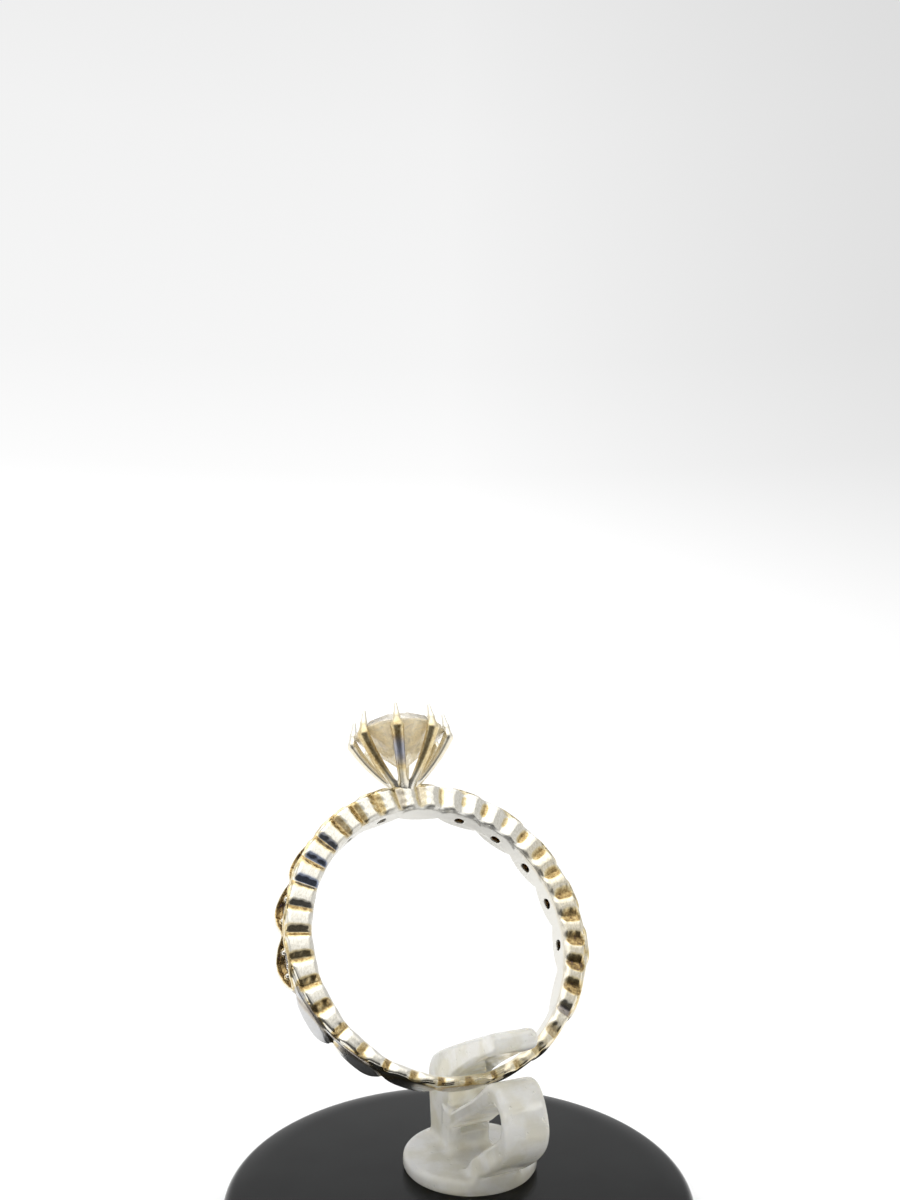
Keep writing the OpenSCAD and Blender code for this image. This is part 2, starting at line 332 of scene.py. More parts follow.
# Tarnish round the near wall's creases. Columns: angle from the head, degrees that it spreads before and after
# a crease, film before and after it (0 bright, 0.2 straw, 0.4 gold, 0.55 brown, 0.7 violet, 0.9 black), half
# height of the stain in millimetres, and film all over the pad
CREASES = np.array([
    (1.6, 2.3, 2.6, 0.34, 0.22, 0.9, 0.03), (11, 1.6, 1.0, 0.3, 0.22, 0.7, 0.03),
    (20.5, 1.0, 1.0, 0.3, 0.24, 0.4, 0.02), (30.5, 1.8, 1.2, 0.42, 0.36, 0.55, 0.02),
    (39.7, 0.9, 0.9, 0.32, 0.3, 0.45, 0.02), (49.7, 1.7, 1.6, 0.44, 0.42, 0.6, 0.03),
    (59.7, 2.1, 1.8, 0.44, 0.42, 0.65, 0.09), (69, 2.5, 2.2, 0.46, 0.46, 0.68, 0.09),
    (78.7, 2.8, 2.3, 0.47, 0.48, 0.7, 0.09), (88.5, 3.3, 2.6, 0.5, 0.52, 0.72, 0.09),
    (98, 3.2, 2.8, 0.48, 0.5, 0.66, 0.09), (107.5, 3.8, 3.4, 0.5, 0.5, 0.66, 0.09),
    (118, 3.5, 3.0, 0.5, 0.48, 0.66, 0.09), (128, 2.1, 2.4, 0.4, 0.36, 0.6, 0.06),
    (138, 2.6, 2.8, 0.34, 0.32, 0.55, 0.1), (150, 2.5, 2.5, 0.3, 0.3, 0.5, 0.14),
    (160, 1.5, 1.5, 0.42, 0.4, 0.5, 0.14), (171, 1.3, 1.3, 0.44, 0.44, 0.5, 0.13),
    (182, 1.8, 1.8, 0.46, 0.44, 0.5, 0.12), (192, 1.6, 1.6, 0.44, 0.48, 0.5, 0.1),
    (204, 1.2, 2.2, 0.36, 0.38, 0.55, 0.03), (215, 0.6, 2.2, 0.38, 0.4, 0.6, 0.03),
    (225, 0.6, 2.4, 0.36, 0.38, 0.6, 0.03), (235, 0.6, 2.4, 0.38, 0.42, 0.64, 0.03),
    (246, 1.2, 3.4, 0.46, 0.44, 0.75, 0.03), (255.7, 1.9, 3.0, 0.46, 0.36, 0.85, 0.03),
    (265.3, 1.6, 2.8, 0.45, 0.3, 0.95, 0.03), (274.7, 1.8, 3.0, 0.46, 0.26, 1.1, 0.03),
    (284, 1.8, 2.6, 0.45, 0.18, 1.1, 0.03), (293.7, 2.3, 3.0, 0.44, 0.1, 1.1, 0.03),
    (303, 2.5, 2.8, 0.46, 0.1, 1.1, 0.03), (312, 2.6, 2.4, 0.47, 0.2, 1.1, 0.03),
    (322, 2.6, 2.2, 0.44, 0.36, 1.1, 0.03), (331.5, 2.6, 2.2, 0.4, 0.34, 1.1, 0.03),
    (341.3, 2.6, 2.4, 0.42, 0.34, 1.0, 0.03), (351.8, 2.5, 2.8, 0.34, 0.24, 0.95, 0.03)])
# Blue cast on the flank after a crease, partly blue tarnish and partly painted reflection of the dark front in that
# downward flank. Columns: angle from the head, strength
CREASE_BLUE_AND_REFLECTION = np.array([
    (0, 0.3), (12, 0), (118, 0), (128, 0.6), (138, 0.1), (150, 0), (262, 0), (275, 0.3), (284, 0.5), (293, 1),
    (304, 1), (313, 0.8), (323, 0), (345, 0), (352, 0.5), (360, 0.3)])

# Tarnish in the links' recesses and between a link and the wall. Columns: angle from the head, film in the
# recess, film in the seam
SEAMS = np.array([
    (0, 0.4, 0.16), (60, 0.5, 0.2), (120, 0.5, 0.25), (180, 0.5, 0.36), (215, 0.5, 0.4), (235, 0.5, 0.38),
    (255, 0.5, 0.38), (290, 0.5, 0.3), (320, 0.5, 0.2), (360, 0.4, 0.16)])

# How much higher a set link's far rim stands than its near one, in millimetres. Columns: link, height
FAR_RIMS = np.array([(0, 0), (1, 0.08), (5, 0.08), (6, 0), (12, 0), (13, 0.15), (14, 0.19), (15, 0.1), (17, 0.05)])

# Recess of a set link: half width, half length and shift towards the near wall, in millimetres
RECESS_HALF, RECESS_LONG, RECESS_SHIFT = 0.74, 1.6, 0.1
# Beads beside a small stone, along and across the band, and the hole through the bore under it, in millimetres
BEADS = [(-0.71, -0.39), (-0.71, 0.39), (0.71, -0.39), (0.71, 0.39)]
PIN_HOLE = 0.35
# Near rim of the wall from the middle plane in millimetres, and how fast its outside falls away behind the rim
WALL_RIM, WALL_FALL = 0.93, 0.2025
# Nothing of the band is this far away, in millimetres
NOWHERE = 9.0


def column(table, angle, k):
    return np.interp(angle, table[:, 0], table[:, k], period=360)


def link_tables(size):
    """Each link's angle, top, half length and arcs, in millimetres."""
    i = np.arange(LINKS)
    top = wall_radius(link_angle(i)) + size.crest
    half = wall_radius(link_angle(i)) * np.sin(np.radians(link_angle(i + 0.5) - link_angle(i - 0.5)) / 2)
    drop = top - np.sqrt((top - size.crest - 0.1) ** 2 - half ** 2)
    step = size.link_half - size.waist_half
    return SimpleNamespace(
        top=top, bow=(half ** 2 + drop ** 2) / (2 * drop), arc=(half ** 2 + step ** 2) / (2 * step),
        tip=np.interp(i, FAR_RIMS[:, 0], FAR_RIMS[:, 1]),
        is_set=((i >= 1) & (i <= SET_LINKS)) | (i >= LINKS - SET_LINKS))


def make_band(size):
    """The band's field, its tarnish film and its blue cast, which is partly painted reflection, from the ring's sizes
    in millimetres.
    """
    links = link_tables(size)
    recess_arc = (RECESS_LONG ** 2 + RECESS_HALF ** 2) / (2 * RECESS_HALF)

    def parts(p):
        w = -p[..., 1]
        r = np.hypot(p[..., 0], p[..., 2])
        theta = np.degrees(np.arctan2(p[..., 0], p[..., 2])) % 360
        s = link_number(theta)
        # Pads of the near wall are cushions side by side, creased where they meet
        pad = np.floor((s - PAD_SHIFT) * 2) / 2 + PAD_SHIFT
        start, end = link_angle(pad), link_angle(pad + 0.5)
        t = 2 * (theta - start) / (end - start) - 1
        end_r = column(PAD_END, theta, 1)
        # A pad's flat face widens to both ends, so its flanks are lens shaped, and hand finishing leaves them uneven
        bowed = ((r - (size.bore + end_r) / 2 - 0.05) / (end_r - size.bore) * 2) ** 2
        flat = np.minimum(column(FLATS, theta, 1) + 0.2 * bowed + 0.035 * np.sin(11 * r + 0.6 * theta), 0.8)
        flank = soft_max(np.abs(t) - flat, 0, 0.16) / (1 - flat)
        face = (w - size.near + size.pad * (0.85 * flank + 0.15 * t * t)) * 0.9
        pads = soft_max(soft_max(face, r - end_r, 0.26), size.bore - r, 0.34)
        outer = (r - wall_radius(theta) + WALL_FALL * np.maximum(WALL_RIM - w, -0.3)) * 0.98
        far = -0.3 + (r - 8.45) * 0.15 - w
        strip = soft_max(soft_max(w - size.near + size.pad * 0.9, outer, 0.24), size.bore - r, 0.1)
        wall = soft_max(soft_min(pads, strip, 0.03), far, 0.05)
        bodies = np.full(w.shape, NOWHERE)
        low = np.floor(s)
        for i in (low, low + 1):
            k = i.astype(int) % LINKS
            turn = np.radians(theta - link_angle(i))
            lx, lz = r * np.sin(turn), r * np.cos(turn)
            top = links.top[k]
            leaf = np.hypot(lx, np.abs(w) + links.arc[k] - size.link_half) - links.arc[k]
            # The set links are tipped: their far rims stand higher than their near ones
            tip = links.tip[k] * np.clip((0.3 - w) / 1.1, 0, 1)
            body = soft_max(leaf, np.hypot(lx, lz - tip - top + links.bow[k]) - links.bow[k], 0.1)
            dome = np.hypot(np.where(links.is_set[k], np.maximum(w, 0), w), lz - tip - top + 2.2) - 2.2
            body = np.where(links.is_set[k] | (k == 0), soft_max(body, dome, 0.1), soft_max(body, dome, 0.35))
            body = soft_max(body, size.bore - r, 0.1)
            body = soft_max(body, np.where(r < end_r, w - size.near + size.pad * 0.9, -1), 0.03)
            bodies = np.minimum(bodies, body)
        i = np.round(s)
        k = i.astype(int) % LINKS
        turn = np.radians(theta - link_angle(i))
        lx, lz = r * np.sin(turn), r * np.cos(turn)
        floor = links.top[k] - size.recess
        leaf = np.hypot(lx, np.abs(w - RECESS_SHIFT) + recess_arc - RECESS_HALF) - recess_arc
        # The hole flares into the stone's seat
        hole = np.hypot(lx, w) - PIN_HOLE - 0.32 * np.clip((lz - floor + 0.5) / 0.5, 0, 1.4)
        cut = np.where(links.is_set[k], np.minimum(soft_max(leaf, floor - lz, 0.06), hole), NOWHERE)
        beads = np.full(w.shape, NOWHERE)
        for along, across in BEADS:
            bead = np.sqrt((lx - along) ** 2 + (w - across) ** 2 + (lz - floor - 0.02) ** 2) - size.bead
            beads = np.minimum(beads, bead)
        beads = np.where(links.is_set[k], beads, NOWHERE)
        return SimpleNamespace(w=w, r=r, theta=theta, s=s, wall=wall, bodies=bodies, cut=cut, beads=beads, end_r=end_r)

    def field(p):
        q = parts(p)
        carved = soft_max(soft_min(q.wall, q.bodies, 0.18), -q.cut, 0.05)
        return soft_min(carved, q.beads, 0.05)

    def marks(p):
        q = parts(p)
        crease = link_angle(np.round((q.s - PAD_SHIFT) * 2) / 2 + PAD_SHIFT)
        off = (q.theta - crease + 180) % 360 - 180
        side = off > 0
        spread = np.where(side, column(CREASES, crease, 2), column(CREASES, crease, 1))
        depth = np.where(side, column(CREASES, crease, 4), column(CREASES, crease, 3))
        middle = (size.bore + q.end_r) / 2 + 0.1
        reach = (np.abs(off) / spread) ** 2 + (np.abs(q.r - middle) / column(CREASES, crease, 5)) ** 4
        near = np.clip((q.w - size.near + 0.45) / 0.15, 0, 1) * np.clip((q.r - size.bore) / 0.05, 0, 1)
        # A stain fades slowly before its crease and ends more sharply after it
        spot = np.where(side, np.clip((1.4 - reach) / 0.6, 0, 1), np.clip(1.35 - reach ** 0.6, 0, 1)) * near
        stain = depth * spot
        # Painted reflection: the downward flank after a crease gets a blue cast for the dark front that it reflects,
        # mixed with blue tarnish
        cool = column(CREASE_BLUE_AND_REFLECTION, crease, 1) * spot * (side | (q.theta < 180)) * np.clip((q.end_r - q.r) / 0.2, 0, 1)
        pad = column(CREASES, q.theta, 6) * np.clip((q.w - size.near + 0.6) / 0.3, 0, 1)
        seam = column(SEAMS, q.theta, 2) * np.exp(-((q.wall - q.bodies) / 0.1) ** 2) * (q.r > q.end_r - 0.25)
        recess = column(SEAMS, q.theta, 1) * np.clip(1 - np.abs(q.cut) / 0.03, 0, 1)
        recess = recess * np.clip(q.beads / 0.08, 0.1, 1) * (q.r > size.bore + 0.1)
        film = np.maximum.reduce([stain, pad, seam, recess, np.full(len(p), 0.02)])
        # The finger dulls the bore, and the links' backs are only tumbled
        inside = np.clip((size.bore + 0.3 - q.r) / 0.25, 0, 1)
        plain = ~links.is_set[np.round(q.s).astype(int) % LINKS]
        back = np.where(plain, 0.75, 0.3) * np.clip((q.r - q.end_r) / 0.2, 0, 1)
        film = np.maximum(film, 0.05 * plain * (back > 0.3))
        # The tumbled backs of the plain links past 140 degrees, and the bore, get a blue-grey cast
        cool = np.maximum(cool, np.where(plain & (q.theta > 140), 0.5, 0) * (back > 0.2))
        cool = np.maximum(cool, 0.18 * inside)
        return {"film": film, "cool": cool, "worn": np.maximum(inside, back)}

    return field, marks


def band_place(g):
    theta = np.radians(link_angle(g[..., 0]))
    return np.stack([g[..., 1] * np.sin(theta), -g[..., 2], g[..., 1] * np.cos(theta)], -1)


def bar(u, v, t, a, b, half_u, half_v):
    """Distance to a flat bar in the plane u, v with its width along t, from a to b."""
    run = np.array(b, float) - np.array(a, float)
    size = np.hypot(*run)
    along = np.clip(((u - a[0]) * run[0] + (v - a[1]) * run[1]) / size ** 2, 0, 1)
    thick = half_u[0] + (half_u[1] - half_u[0]) * along
    wide = half_v[0] + (half_v[1] - half_v[0]) * along
    off = np.hypot(u - a[0] - along * run[0], v - a[1] - along * run[1])
    return (np.hypot(off / thick, t / wide) - 1) * np.minimum(thick, wide)


# A prong's three runs: start and end of each, as distance from the head's axis and height over the ring's centre,
# then half thicknesses and half widths at both, in millimetres
PRONG_BLADE = ((0.5, 10.3), (3.46, 14.0), (0.24, 0.34), (0.27, 0.46))
PRONG_CLAW = ((3.45, 13.95), (3.38, 14.75), (0.34, 0.24), (0.44, 0.22))
PRONG_TIP = ((3.36, 14.7), (3.24, 15.66), (0.26, 0.12), (0.25, 0.1))
PRONG_BOW, BLADE_RISE = 1.1, 3.7

# Tarnish up a prong, partly painted light: the film is left off the foot, which stays bright as a painted glint, and
# is thickest in the lower middle, where the prong reflects the dark front. Columns: height over the ring's centre in
# millimetres, film
PRONG_FILM_AND_GLINT = np.array([
    (10.4, 0.0), (11.1, 0.1), (11.7, 0.38), (12.25, 0.46), (13.0, 0.44), (13.7, 0.34), (14.3, 0.24),
    (15.0, 0.05)])
# Share of that film on each prong, counted from the ring's X axis over its far side: partly tarnish and partly painted
# reflection, as each prong faces the dark front or the bright tent its own way; and the prong given a painted blue
# reflection of the dark front
PRONG_TARNISH_AND_REFLECTION = np.array([0.3, 0.3, 0.3, 0.15, 0.75, 0.85, 0.6, 0.15])
PAINTED_REFLECTION_PRONG = 5


def make_head(size):
    """The head's field and its tarnish film, which is partly painted light, from the ring's sizes in millimetres."""
    step = 2 * np.pi / size.prongs

    def field(p):
        x, y, z = p[..., 0], p[..., 1], p[..., 2]
        rho = np.hypot(x, y)
        turn = np.mod(np.arctan2(y, x), step) - step / 2
        u, t = rho * np.cos(turn), rho * np.sin(turn)
        # The blades bow outwards like petals
        up = np.clip((z - PRONG_BLADE[0][1]) / BLADE_RISE, 0, 1)
        blade = bar(u - PRONG_BOW * up * (1 - up), z, t, *PRONG_BLADE)
        claw, tip = bar(u, z, t, *PRONG_CLAW), bar(u, z, t, *PRONG_TIP)
        solid = soft_min(soft_min(blade, claw, 0.12), tip, 0.12)
        # The foot is a small cone, and room is left for the stone over and under its girdle
        foot = np.maximum(rho - 0.62 - 0.36 * (z - 9.9) / 0.85, np.abs(z - 10.3) - 0.45) * 0.9
        solid = soft_min(solid, foot, 0.3)
        room = np.maximum(rho - size.stone - 0.05 + np.maximum((z - size.girdle) * 0.7, 0)
                          + np.maximum(size.girdle - 0.15 - z, 0) * 1.115, z - size.girdle - 1.3) * 0.66
        return soft_max(solid, -room, 0.04)

    def marks(p):
        x, y, z = p[..., 0], p[..., 1], p[..., 2]
        k = np.floor(np.arctan2(y, x) / step).astype(int) % size.prongs % len(PRONG_TARNISH_AND_REFLECTION)
        share = np.interp(z, PRONG_FILM_AND_GLINT[:, 0], PRONG_FILM_AND_GLINT[:, 1])
        # Painted reflection: the front prong turns blue in its lower middle, where it faces the dark front
        blue = np.clip((share - 0.3) / 0.2, 0, 1) * (k == PAINTED_REFLECTION_PRONG) * np.clip((13.4 - z) / 0.6, 0, 1)
        return {"film": 0.03 + share * PRONG_TARNISH_AND_REFLECTION[k], "cool": blue, "worn": np.full(len(p), 0.5)}

    return field, marks


def curve_through(points, steps=4):
    """A smooth line through points, with a few places between each two."""
    p = np.array(points, float)
    p = np.concatenate([p[:1], p, p[-1:]])
    t = (np.arange(steps) / steps)[:, None]
    runs = []
    for a, b, c, d in zip(p, p[1:], p[2:], p[3:]):
        bend, twist = 2 * a - 5 * b + 4 * c - d, 3 * b - a - 3 * c + d
        runs.append(0.5 * (2 * b + (c - a) * t + bend * t * t + twist * t ** 3))
    return np.concatenate(runs + [p[-1:]])


def outline_distance(u, v, line):
    """Signed distance to a closed outline, negative inside."""
    best = np.full(u.shape, 1e9)
    inside = np.zeros(u.shape, bool)
    for (ax, ay), (bx, by) in zip(line, np.roll(line, -1, 0)):
        dx, dy = bx - ax, by - ay
        share = np.clip(((u - ax) * dx + (v - ay) * dy) / max(dx * dx + dy * dy, 1e-12), 0, 1)
        best = np.minimum(best, (u - ax - share * dx) ** 2 + (v - ay - share * dy) ** 2)
        if ay != by:
            inside ^= ((ay > v) != (by > v)) & (u < (v - ay) * dx / dy + ax)
    return np.where(inside, -1, 1) * np.sqrt(best)


# Clip outlines. Columns: distance towards the viewer from the foot's middle, height over the base's underside
POST_LINE = [(0.05, 3.6), (0.05, 7.6), (0.3, 8.4), (1.6, 9.35), (3, 10.2), (4.4, 10.98), (5.6, 11.55),
             (6.3, 11.95), (6.48, 12.35), (6.25, 12.8), (5.6, 12.83), (4.4, 12.3), (1.6, 11.05), (-1.45, 9.62),
             (-2.75, 8.87), (-3.3, 8.2), (-3.5, 7.4), (-3.35, 6), (-3.15, 4.6), (-3.15, 3.6)]
LOOP_OUT = [(-1, 6.35), (0.05, 6.45), (1.4, 7.26), (3.1, 8.33), (4.3, 9.22), (5.1, 9.85), (5.8, 10.12),
            (6.45, 10.05), (7, 9.65), (7.42, 9), (7.72, 8.2), (7.75, 7.5), (7.45, 6.75), (6.6, 5.85), (5.3, 4.9),
            (4.1, 4.15), (3.7, 3.6)]
LOOP_IN = [(2.3, 3.6), (2.75, 4.6), (3.9, 5.5), (5.5, 6.6), (6.5, 7.35), (6.92, 8), (6.85, 8.65), (6.4, 9.02),
           (5.8, 9.03), (5, 8.6), (3.1, 7.33), (1.4, 6.25), (0.3, 5.5), (-1, 5.3)]

# Clip's foot, and the slot in its post, in millimetres
FOOT_LOW, FOOT_MIDDLE, FOOT_HALF = 3.02, 3.47, 0.45
SLOT_SHIFT, SLOT_HALF_WIDTH, SLOT_HEIGHT, SLOT_HALF_HEIGHT, SLOT_DEPTH = 0.3, 0.9, 5.2, 0.25, 1.7


def make_clip(width, edge, foot):
    """The clip's field, from its sizes in millimetres."""
    post = curve_through(POST_LINE)
    loop = np.concatenate([curve_through(LOOP_OUT), curve_through(LOOP_IN)])

    def field(p):
        x, u, z = p[..., 0], -p[..., 1], p[..., 2]
        side = np.abs(x) - width / 2
        tall = soft_max(outline_distance(u, z, post), side, edge)
        slot = np.maximum(np.abs(x - SLOT_SHIFT) - SLOT_HALF_WIDTH, -u - SLOT_DEPTH)
        slot = np.maximum(slot, np.abs(z - SLOT_HEIGHT) - SLOT_HALF_HEIGHT)
        tall = soft_max(tall, -slot, 0.12)
        bow = soft_max(outline_distance(u, z, loop), side, edge)
        disc = soft_max(np.hypot(x, u) - foot, np.abs(z - FOOT_MIDDLE) - FOOT_HALF, 0.4)
        disc = np.maximum(disc, FOOT_LOW - z)
        return soft_min(soft_min(tall, bow, 0.25), disc, 0.5)

    return field


def base_mesh(radius, thick, edge):
    """A turned disc whose top rolls off slowly into a rounded edge, with a small lower edge."""
    # Width and depth of the slow roll
    roll, fall = 1.6, 0.13
    start = radius - edge - roll
    rim = [(start + roll * t, thick - fall * t ** 2.5) for t in np.linspace(0, 1, 13)]
    tilt = math.atan(2.5 * fall / roll)
    bend = np.linspace(tilt, np.pi / 2, 10)[1:]
    reach = edge / (1 - math.sin(tilt))
    rim += [(radius - reach + reach * math.sin(a), thick - fall + reach * (math.cos(a) - math.cos(tilt)))
            for a in bend]
    rim += [(radius, 0.2), (radius - 0.06, 0.06), (radius - 0.2, 0.0)]
    profile = [(start * k / 4, thick) for k in range(1, 4)] + rim
    turns = 256
    corners = [(0, 0, thick)] + [(r * math.cos(a), r * math.sin(a), z) for r, z in profile
                                 for a in np.arange(turns) * 2 * np.pi / turns] + [(0, 0, 0)]
    faces = [(0, 1 + i, 1 + (i + 1) % turns) for i in range(turns)]
    for k in range(len(profile) - 1):
        a, b = 1 + k * turns, 1 + (k + 1) * turns
        faces += [(a + i, b + i, b + (i + 1) % turns, a + (i + 1) % turns) for i in range(turns)]
    a, end = 1 + (len(profile) - 1) * turns, len(corners) - 1
    faces += [(end, a + (i + 1) % turns, a + i) for i in range(turns)]
    mesh = bpy.data.meshes.new("black_base")
    mesh.from_pydata((np.array(corners) * MM).tolist(), [], faces)
    mesh.polygons.foreach_set("use_smooth", [True] * len(mesh.polygons))
    return mesh


def tarnished_silver(look):
    """Sterling silver, lost-wax cast and polished: bright where it is rubbed, filmed with sulphide elsewhere, and
    given a blue cast that is partly painted reflection.
    """
    material, tree = new_material("cast_polished_sterling_silver")
    place = add_node(tree, "ShaderNodeTexCoord")
    film = add_node(tree, "ShaderNodeAttribute", attribute_name="film")
    # Blotches 0.4 mm across make every stain uneven, and specks of 0.1 mm are coarser than the real dust
    blotch = add_node(tree, "ShaderNodeTexNoise", {"Vector": (place, "Object"), "Scale": 2500.0, "Detail": 3.0})
    speck = add_node(tree, "ShaderNodeTexNoise", {"Vector": (place, "Object"), "Scale": 8000.0, "Detail": 2.0})
    uneven = add_node(tree, "ShaderNodeMapRange", {"Value": (blotch, "Fac"), "From Min": 0.3, "From Max": 0.7,
                                                  "To Min": 0.72, "To Max": 1.18})
    dots = add_node(tree, "ShaderNodeMapRange", {"Value": (speck, "Fac"), "From Min": 0.35, "From Max": 0.65,
                                                "To Min": 0.82, "To Max": 1.14})
    patchy = add_node(tree, "ShaderNodeMath", {0: (film, "Fac"), 1: (uneven, 0)}, operation="MULTIPLY")
    coat = add_node(tree, "ShaderNodeMath", {0: (patchy, 0), 1: (dots, 0)}, operation="MULTIPLY")
    tone = add_node(tree, "ShaderNodeValToRGB", {"Fac": (coat, 0)})
    set_stops(tone, ((0.0, opaque(look.silver)), (0.2, opaque(look.straw)), (0.38, opaque(look.gold)),
                     (0.55, opaque(look.brown)), (0.7, opaque(look.violet)), (0.9, opaque(look.black))))
    # Blue cast from its own mark: partly blue tarnish, partly painted reflection of the dark front on the near wall's
    # downward flanks and on the front prong
    cast = add_node(tree, "ShaderNodeAttribute", attribute_name="cool")
    metal = add_node(tree, "ShaderNodeMix", {0: (cast, "Fac"), 6: (tone, "Color"), 7: opaque(look.blue)},
                     data_type="RGBA")
    # Scuffs 0.1 mm wide, drawn coarser than the real ones, leave the polish slightly grey
    comb = add_node(tree, "ShaderNodeMapping", {"Vector": (place, "Object"), "Rotation": (0.6, 0.4, 0.4),
                                               "Scale": (9000.0, 2200.0, 5000.0)})
    scuff = add_node(tree, "ShaderNodeTexNoise", {"Vector": (comb, 0), "Scale": 1.0, "Detail": 4.0})
    grey = add_node(tree, "ShaderNodeValToRGB", {"Fac": (scuff, "Fac")})
    set_stops(grey, ((0.35, linear("#EEEDEA")), (0.6, linear("#FFFFFF"))))
    worn = add_node(tree, "ShaderNodeAttribute", attribute_name="worn")
    kept = add_node(tree, "ShaderNodeMath", {0: 1.0, 1: (worn, "Fac")}, operation="SUBTRACT", use_clamp=True)
    metal = add_node(tree, "ShaderNodeMix", {0: (kept, 0), 6: (metal, 2), 7: (grey, "Color")}, data_type="RGBA",
                     blend_type="MULTIPLY")
    # The casting's slight orange peel, 0.5 mm across
    peel = add_node(tree, "ShaderNodeTexNoise", {"Vector": (place, "Object"), "Scale": 2200.0, "Detail": 5.0})
    bump = add_node(tree, "ShaderNodeBump", {"Height": (peel, "Fac"), "Strength": 0.22, "Distance": 0.00005})
    dull = add_node(tree, "ShaderNodeMapRange", {"Value": (coat, 0), "To Min": 0.12, "To Max": 0.22})
    # The finger has worn the bore from a mirror to satin
    satin = add_node(tree, "ShaderNodeMath", {0: (worn, "Fac"), 1: 0.3, 2: (dull, 0)}, operation="MULTIPLY_ADD")
    shader = add_node(tree, "ShaderNodeBsdfPrincipled", {"Base Color": (metal, 2), "Metallic": 1.0,
                                                        "Roughness": (satin, 0), "Normal": (bump, 0)})
    add_node(tree, "ShaderNodeOutputMaterial", {"Surface": shader})
    return material


def cut_zirconia(look):
    """Cubic zirconia, sawn and polished in flat facets: hard mirror glints on a clear body."""
    material, tree = new_material("faceted_cubic_zirconia")
    place = add_node(tree, "ShaderNodeTexCoord")
    # Rubbed places 0.4 mm across, hardly duller than the polish
    rub = add_node(tree, "ShaderNodeTexNoise", {"Vector": (place, "Object"), "Scale": 2500.0, "Detail": 3.0})
    wear = add_node(tree, "ShaderNodeMapRange", {"Value": (rub, "Fac"), "To Min": 0.0, "To Max": 0.08})
    shader = add_node(tree, "ShaderNodeBsdfPrincipled", {"Base Color": opaque(look.stone), "Roughness": (wear, 0),
                                                        "IOR": 2.15, "Transmission Weight": 1.0})
    add_node(tree, "ShaderNodeOutputMaterial", {"Surface": shader})
    return material


def filmed_zirconia(look, girdle_height):
    """The same stone with a film of skin oil and dust under its girdle, which clouds its lower facets."""
    material, tree = new_material("filmed_cubic_zirconia")
    stand = ring_place() @ head_place()
    axis = (stand.to_3x3() @ Vector((0, 0, 1))).normalized()
    girdle = axis.dot(stand @ Vector((0, 0, girdle_height)))
    place = add_node(tree, "ShaderNodeTexCoord")
    along = add_node(tree, "ShaderNodeVectorMath", {0: (place, "Object"), 1: axis}, operation="DOT_PRODUCT")
    under = add_node(tree, "ShaderNodeMapRange", {"Value": (along, "Value"), "From Min": girdle - 0.0001,
                                                 "From Max": girdle + 0.0002, "To Min": 1.0, "To Max": 0.0})
    # Dried smears about 0.4 mm across
    smear = add_node(tree, "ShaderNodeTexNoise", {"Vector": (place, "Object"), "Scale": 2500.0, "Detail": 4.0})
    patch = add_node(tree, "ShaderNodeMapRange", {"Value": (smear, "Fac"), "From Min": 0.35, "From Max": 0.65,
                                                 "To Min": 0.55, "To Max": 1.0})
    film = add_node(tree, "ShaderNodeMath", {0: (under, 0), 1: (patch, 0)}, operation="MULTIPLY")
    tone = add_node(tree, "ShaderNodeValToRGB", {"Fac": (film, 0)})
    set_stops(tone, ((0.0, opaque(look.stone)), (0.8, opaque(look.stone_film))))
    clear = add_node(tree, "ShaderNodeMapRange", {"Value": (film, 0), "To Min": 1.0, "To Max": 0.25})
    dull = add_node(tree, "ShaderNodeMapRange", {"Value": (film, 0), "To Min": 0.02, "To Max": 0.25})
    shader = add_node(tree, "ShaderNodeBsdfPrincipled", {"Base Color": (tone, "Color"), "Roughness": (dull, 0),
                                                        "IOR": 2.15, "Transmission Weight": (clear, 0)})
    add_node(tree, "ShaderNodeOutputMaterial", {"Surface": shader})
    return material


